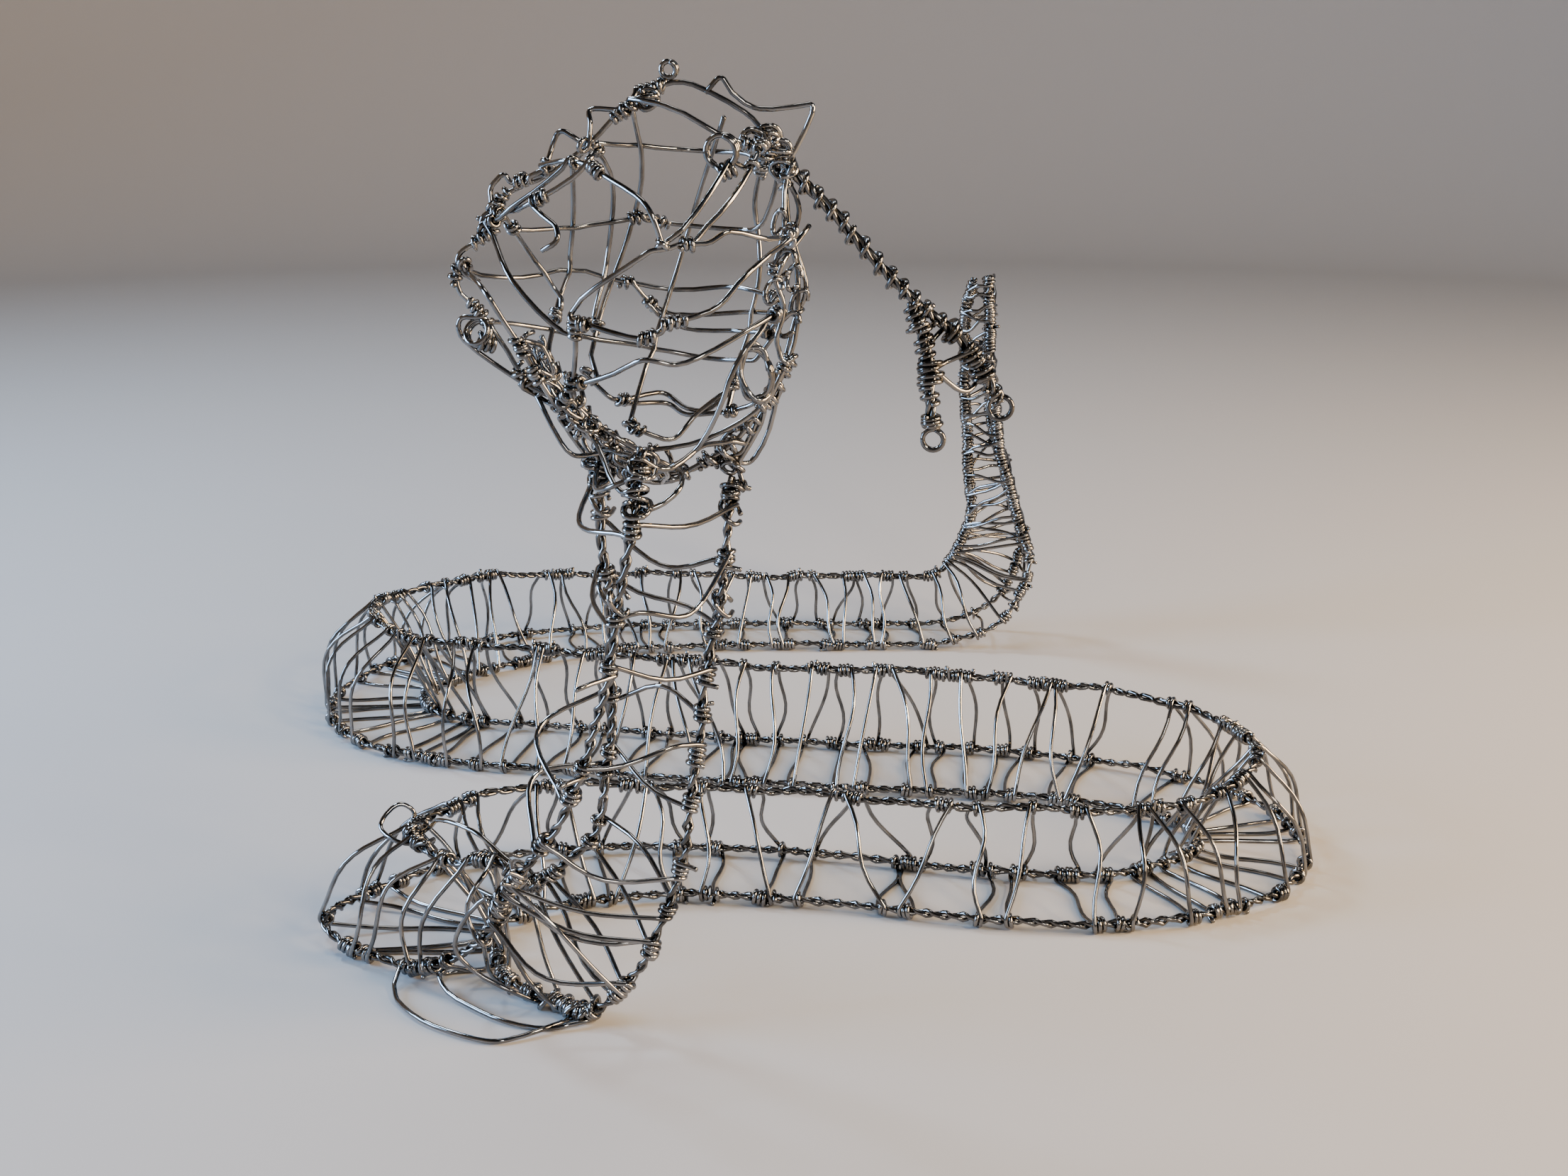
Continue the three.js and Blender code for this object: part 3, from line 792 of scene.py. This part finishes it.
# Wires that tie the tops of the neck's strands to the head, by places from the head's centre.
NECK_TIES = [
    ([(-7, 3, -42), (-9, 2, -37), (-13, 1, -31), (-15, 0, -26)], 1, 2),
    ([(-8, 4, -37), (-11, 5, -33), (-9, 5, -29), (-4, 3, -33)], 1, 2),
    ([(-6, 1, -34), (-12, -4, -34), (-16, -3, -29), (-20, 0, -21)], 1, 2),
    ([(2, -22, -36), (1, -20, -31), (-2, -12, -32), (-6, -4, -32)], 1, 2),
    ([(3, -22, -33), (6, -18, -33), (7, -9, -37), (5, -2, -39)], 1, 2),
    ([(1, -23, -39), (-3, -19, -36), (-6, -12, -31), (-9, -7, -29)], 1, 2),
    ([(4, -22, -42), (10, -20, -37), (9, -12, -35), (3, -6, -37), (-1, -1, -38)], 1, 2),
    ([(20, 1, -41), (21, 0, -36), (24, 0, -31), (27, 0, -25)], 1, 2),
    ([(20, 1, -38), (17, 1, -34), (19, 0, -30), (25, -1, -27)], 1, 2),
    ([(19, 0, -35), (23, 3, -37), (27, 2, -30), (29, 0, -20)], 1, 2),
    ([(2, -22, -31), (8, -21, -33), (14, -14, -30), (18, -6, -31), (21, 0, -31)], 1, 2),
    ([(2, -22, -34), (-4, -20, -37), (-7, -12, -39), (-8, -2, -37)], 1, 2),
]
# Places on the head, as across, up and side: the bundle along the jaw, the spike of wire on the
# nose, and the knots at the nose and at the throat. Each link down the face also has its radius.
JAW_BUNDLE = [(-20, -9, -0.5), (-17, -15, -0.5), (-13, -21, -0.5), (-8, -27, -0.5),
              (-2, -32, -0.5), (4, -36, -0.2), (9, -38, 0)]
NOSE_SPIKE = [(15, 36), (18, 39), (20, 36), (25, 33), (33, 33.5), (35.5, 34), (35, 31), (32, 25),
              (29, 20)]
NOSE_KNOTS = [(24, 27, -0.3), (27, 28, 0.2), (29, 25, 0), (26, 24, 0), (30, 22, 0.1)]
THROAT_KNOTS = [(-9, -36), (2, -38), (19, -37)]
FACE_LINKS = [(31, 9, 1.4), (30, 4, 2.0), (32, 1, 1.5), (28, -1, 1.6), (33, -4, 1.6),
              (31, -8, 1.9), (29, 12, 1.3)]


def build_jaw(bundle, cage):
    """The thick bundle along the jaw: some wires along it, and many small loops."""
    for _ in range(5):
        shifts = [scattered(1.6) for _ in JAW_BUNDLE]
        places = [head_point(*place) + shift for place, shift in zip(JAW_BUNDLE, shifts)]
        first = RNG.randrange(3)
        LooseWire(places[first : first + 5], 2, 1).bend(bundle, cage)
    jaw = Course(smooth([head_point(*place) for place in JAW_BUNDLE], 14))
    length = 2.0
    while length < jaw.along[-1] - 2:
        heading = turned_by(jaw.heading(length), vec(0, 1, 0), RNG.uniform(-0.5, 0.5))
        breadth = RNG.uniform(1.0, 2.2) * square(vec(1, 0.5, 0.8), heading)
        centre = jaw.place(length) + scattered(1.3)
        rise = RNG.uniform(2.2, 3.8) * heading
        oval_coil(bundle, centre, breadth, rise, RNG.choice((1, 1, 2)))
        length += RNG.uniform(1.6, 3.0)


def build_ties_and_coils(steel, cage):
    extras = Bundle()
    for places, start_turns, end_turns in NECK_TIES:
        places = [HEAD_CENTRE + vec(*place) for place in places]
        tie = LooseWire(places, start_turns, end_turns, looseness=1.35)
        tie.bend(extras, cage + [(strand, WOUND) for strand in STRANDS.values()])
    ring_coil(extras, head_point(-30.5, -10, -0.1), vec(0.4, 1, -0.5), 2.7, 2.6, 1.2)
    ring_coil(extras, head_point(-29, -12, 0), vec(0.8, 0.5, -0.3), 1.6, 3, 1.3)
    build_jaw(extras, cage)
    for across, up, radius in FACE_LINKS:
        oval_coil(extras, head_point(across, up, -0.3), vec(radius, 0, 0.4), vec(0.5, 0, 2.6), 1)
    oval_coil(extras, head_point(24.5, -16.5, -0.5), vec(3.0, 0, 0.6), vec(-0.8, 0, 5.6), 4)
    for across, up in THROAT_KNOTS:
        tangle(extras, head_point(across, up, RIM), 1.8, 2)
    extras.piece("head_ties_and_coils", steel, CAGE_NODES[6:])


def build_nose(steel, cage):
    nose = Bundle()
    bent(nose, smooth([head_point(across, up, RIM) for across, up in NOSE_SPIKE], 12))
    for place in NOSE_KNOTS:
        tangle(nose, head_point(*place), 2.6, 3)
    spur = [head_point(28, 2, -0.5), head_point(31, 6, -0.3), head_point(33, 10, 0) + vec(2, 0, 1)]
    LooseWire(spur, 2, 0).bend(nose, cage)
    nose.piece("nose_spike_and_knot", steel, ["head_nose_spike"])


def build_head(steel):
    bundle = Bundle()
    cage = build_cage(bundle)
    bundle.piece("head_cage", steel, CAGE_NODES[:6])
    build_ties_and_coils(steel, cage)
    build_nose(steel, cage)

    rings = Bundle()
    ring_coil(rings, head_point(18.5, 26, -0.95), vec(0.2, 1, 0.1), 3.0, 2.2)
    ring_coil(rings, head_point(19.5, 22.5, -0.9), vec(1, 0.3, 0.4), 1.5, 3)
    rings.piece("nostril_ring", steel, ["head_nostril_ring"])

    crown = Bundle()
    ring_coil(crown, HEAD_CENTRE + vec(8, 0, 40.3), vec(0.1, 1, 0.1), 1.6, 1.6)
    ring_coil(crown, HEAD_CENTRE + vec(7, 0, 37.5), vec(0.3, 0.2, 1), 1.5, 3)
    tangle(crown, HEAD_CENTRE + vec(4, -1, 35), 2.4, 3)
    crown.piece("crown_ring", steel, ["head_crown_ring"])


# The forked tongue, by places from the head's centre.
TONGUE_STEM = [(30, 0, 23), (35, 0, 18), (41, 0, 12), (47, 0, 5), (53, 0, -1), (58, 0, -6)]
LEFT_PRONG = [(55, 0, -4), (57.5, -1, -11), (59, -2, -18), (59, -3, -23), (59.5, -3, -28)]
RIGHT_PRONG = [(57, 0, -5), (63, 1, -9.5), (67, 2, -14), (70.5, 3, -19), (72.5, 4, -23)]
TONGUE_LINKS = [
    ([(59, -2, -17), (62, 0, -16), (66, 2, -14.5)], 2, 2),
    ([(60, -1, -16.5), (63, -1, -20), (66.5, 1, -22), (70.5, 3, -20)], 1, 2),
    ([(56.5, 0, -9), (58.5, 0, -13), (60, 0, -10.5), (62.5, 1, -9)], 1, 1),
]

# The pitch of the wires wound round each of its parts, with the gaps between them, and the
# radius of the ring at the end of each prong.
TONGUE_PARTS = [(TONGUE_STEM, 4.0, 0), (LEFT_PRONG, 1.6, 2.0), (RIGHT_PRONG, 1.6, 2.0)]
PRONG_RINGS = [(LEFT_PRONG, 2.2), (RIGHT_PRONG, 2.5)]


def build_tongue(steel):
    tongue = Bundle()
    targets = []
    for stops, pitch, gap in TONGUE_PARTS:
        places = [HEAD_CENTRE + vec(*stop) for stop in stops]
        targets.append(wound_bundle(tongue, places, pitch, gap))
    for stops, radius in PRONG_RINGS:
        last = vec(*stops[-1])
        heading = unit(last - vec(*stops[-2]))
        centre = HEAD_CENTRE + last + (radius + 0.8) * heading
        ring_coil(tongue, centre, vec(0.1, 1, 0), radius, 1.8, 0.8)
        tangle(tongue, HEAD_CENTRE + last + 0.4 * heading, 1.7, 1)
    for places, start_turns, end_turns in TONGUE_LINKS:
        link = LooseWire([HEAD_CENTRE + vec(*place) for place in places], start_turns, end_turns)
        link.bend(tongue, targets)
    tongue.piece("forked_tongue_wires", steel, ["forked_tongue"])


# ---------------------------------------------------------------------------- materials


def steel_material(name, dull, bright, smoothest, roughest):
    """Drawn steel wire: fine lines along its length, with bright and slightly tarnished places."""
    material = bpy.data.materials.new(name)
    material.use_nodes = True
    nodes, links = material.node_tree.nodes, material.node_tree.links
    shader = nodes["Principled BSDF"]
    shader.inputs["Metallic"].default_value = 1.0
    place = nodes.new("ShaderNodeTexCoord")

    tarnish = nodes.new("ShaderNodeTexNoise")
    tarnish.inputs["Scale"].default_value = 130
    tarnish.inputs["Detail"].default_value = 6
    links.new(place.outputs["Object"], tarnish.inputs["Vector"])
    colour = nodes.new("ShaderNodeValToRGB")
    colour.color_ramp.elements[0].position = 0.33
    colour.color_ramp.elements[0].color = (*dull, 1)
    colour.color_ramp.elements[1].position = 0.62
    colour.color_ramp.elements[1].color = (*bright, 1)
    links.new(tarnish.outputs["Fac"], colour.inputs["Fac"])
    links.new(colour.outputs["Color"], shader.inputs["Base Color"])

    stretch = nodes.new("ShaderNodeMapping")
    stretch.inputs["Scale"].default_value = (26, 0.7, 1)
    links.new(place.outputs["UV"], stretch.inputs["Vector"])
    drawn = nodes.new("ShaderNodeTexNoise")
    drawn.inputs["Scale"].default_value = 1.0
    drawn.inputs["Detail"].default_value = 3
    links.new(stretch.outputs["Vector"], drawn.inputs["Vector"])
    gloss = nodes.new("ShaderNodeMapRange")
    gloss.inputs["From Min"].default_value = 0.3
    gloss.inputs["From Max"].default_value = 0.7
    gloss.inputs["To Min"].default_value = smoothest
    gloss.inputs["To Max"].default_value = roughest
    links.new(drawn.outputs["Fac"], gloss.inputs["Value"])
    links.new(gloss.outputs["Result"], shader.inputs["Roughness"])
    bump = nodes.new("ShaderNodeBump")
    bump.inputs["Strength"].default_value = 0.08
    bump.inputs["Distance"].default_value = 0.00004
    links.new(drawn.outputs["Fac"], bump.inputs["Height"])
    links.new(bump.outputs["Normal"], shader.inputs["Normal"])
    return material


def plain_material(name, colour, roughness):
    material = bpy.data.materials.new(name)
    material.use_nodes = True
    shader = material.node_tree.nodes["Principled BSDF"]
    shader.inputs["Base Color"].default_value = (*colour, 1)
    shader.inputs["Roughness"].default_value = roughness
    return material


# ---------------------------------------------------------------------------- stage

# Metres from here on.
CAMERA_AT = (0.00366, -0.4826, 0.200)
CAMERA_DOWN = 16.3  # degrees
LENS = 42.31  # millimetres, for a sensor 36 mm wide


def build_stage():
    """A pale floor that sweeps up all round the object."""
    flat, bend, height, sides, steps = 1.35, 0.5, 2.4, 96, 16
    profile = [(0.001, 0.0), (0.5 * flat, 0.0)]
    for i in range(steps + 1):
        angle = math.pi / 2 * i / steps
        profile.append((flat + bend * math.sin(angle), bend - bend * math.cos(angle)))
    profile.append((flat + bend, height))
    turns = [TURN * i / sides for i in range(sides)]
    points = [(r * math.cos(t), r * math.sin(t), z) for r, z in profile for t in turns]
    faces = []
    for row in range(len(profile) - 1):
        for i in range(sides):
            after = (i + 1) % sides
            low, high = row * sides, (row + 1) * sides
            faces.append((low + i, high + i, high + after, low + after))
    faces.append(tuple(range(sides)))
    mesh = bpy.data.meshes.new("floor")
    mesh.from_pydata(points, [], faces)
    mesh.polygons.foreach_set("use_smooth", [True] * len(faces))
    mesh.materials.append(plain_material("pale_floor", (0.44, 0.425, 0.41), 0.8))
    floor = bpy.data.objects.new("floor", mesh)
    bpy.context.scene.collection.objects.link(floor)


def softbox(name, place, width, height, power, colour):
    """A rectangular light, aimed at the object and not seen itself."""
    light = bpy.data.lights.new(name, "AREA")
    light.shape = "RECTANGLE"
    light.size = width
    light.size_y = height
    light.energy = power
    light.color = colour
    obj = bpy.data.objects.new(name, light)
    obj.location = place
    obj.rotation_euler = (Vector(AIM) - Vector(place)).to_track_quat("-Z", "Y").to_euler()
    obj.visible_camera = False
    bpy.context.scene.collection.objects.link(obj)


AIM = (0, 0, 0.08)
# Each light: its name, place, width, height, power and colour.
LIGHTS = [
    ("warm_side", (0.95, -0.20, 0.32), 0.50, 0.46, 26, (1.0, 0.66, 0.34)),
    ("warm_high", (0.75, -0.60, 0.75), 0.16, 0.16, 8, (1.0, 0.80, 0.54)),
    ("cool_side", (-0.95, -0.15, 0.32), 0.44, 0.46, 22, (0.34, 0.60, 1.0)),
    ("cool_high", (-0.55, 0.45, 0.90), 0.18, 0.18, 7, (0.60, 0.78, 1.0)),
    ("soft_top", (0.1, 0.30, 1.25), 0.4, 0.4, 3, (1.0, 0.97, 0.93)),
    ("front_strip", (0.35, -1.1, 0.55), 0.10, 0.30, 3, (1.0, 0.92, 0.82)),
]


def build_lights():
    for light in LIGHTS:
        softbox(*light)
    world = bpy.data.worlds.new("dim_room")
    world.use_nodes = True
    background = world.node_tree.nodes["Background"]
    background.inputs["Color"].default_value = (0.06, 0.06, 0.065, 1)
    background.inputs["Strength"].default_value = 0.5
    bpy.context.scene.world = world


def build_camera():
    data = bpy.data.cameras.new("camera")
    data.lens = LENS
    data.sensor_width = 36
    data.clip_start = 0.01
    camera = bpy.data.objects.new("camera", data)
    camera.location = CAMERA_AT
    camera.rotation_euler = (math.radians(90 - CAMERA_DOWN), 0, 0)
    bpy.context.scene.collection.objects.link(camera)
    bpy.context.scene.camera = camera


# The two steels: their dull and bright colours, and their smoothest and roughest. These colours
# hold painted shade: they are far darker than bare steel and stand in for the dim room that the
# wires reflect. The twisted steel is given darker painted shade still.
PAIR_STEEL = ((0.07, 0.068, 0.066), (0.20, 0.197, 0.194), 0.09, 0.17)
WIRE_STEEL = ((0.11, 0.108, 0.106), (0.28, 0.277, 0.274), 0.05, 0.12)

pair_steel = steel_material("twisted_steel", *PAIR_STEEL)
wire_steel = steel_material("bright_steel", *WIRE_STEEL)
build_camera()
build_body(pair_steel, wire_steel)
build_head(wire_steel)
build_tongue(pair_steel)
build_stage()
build_lights()
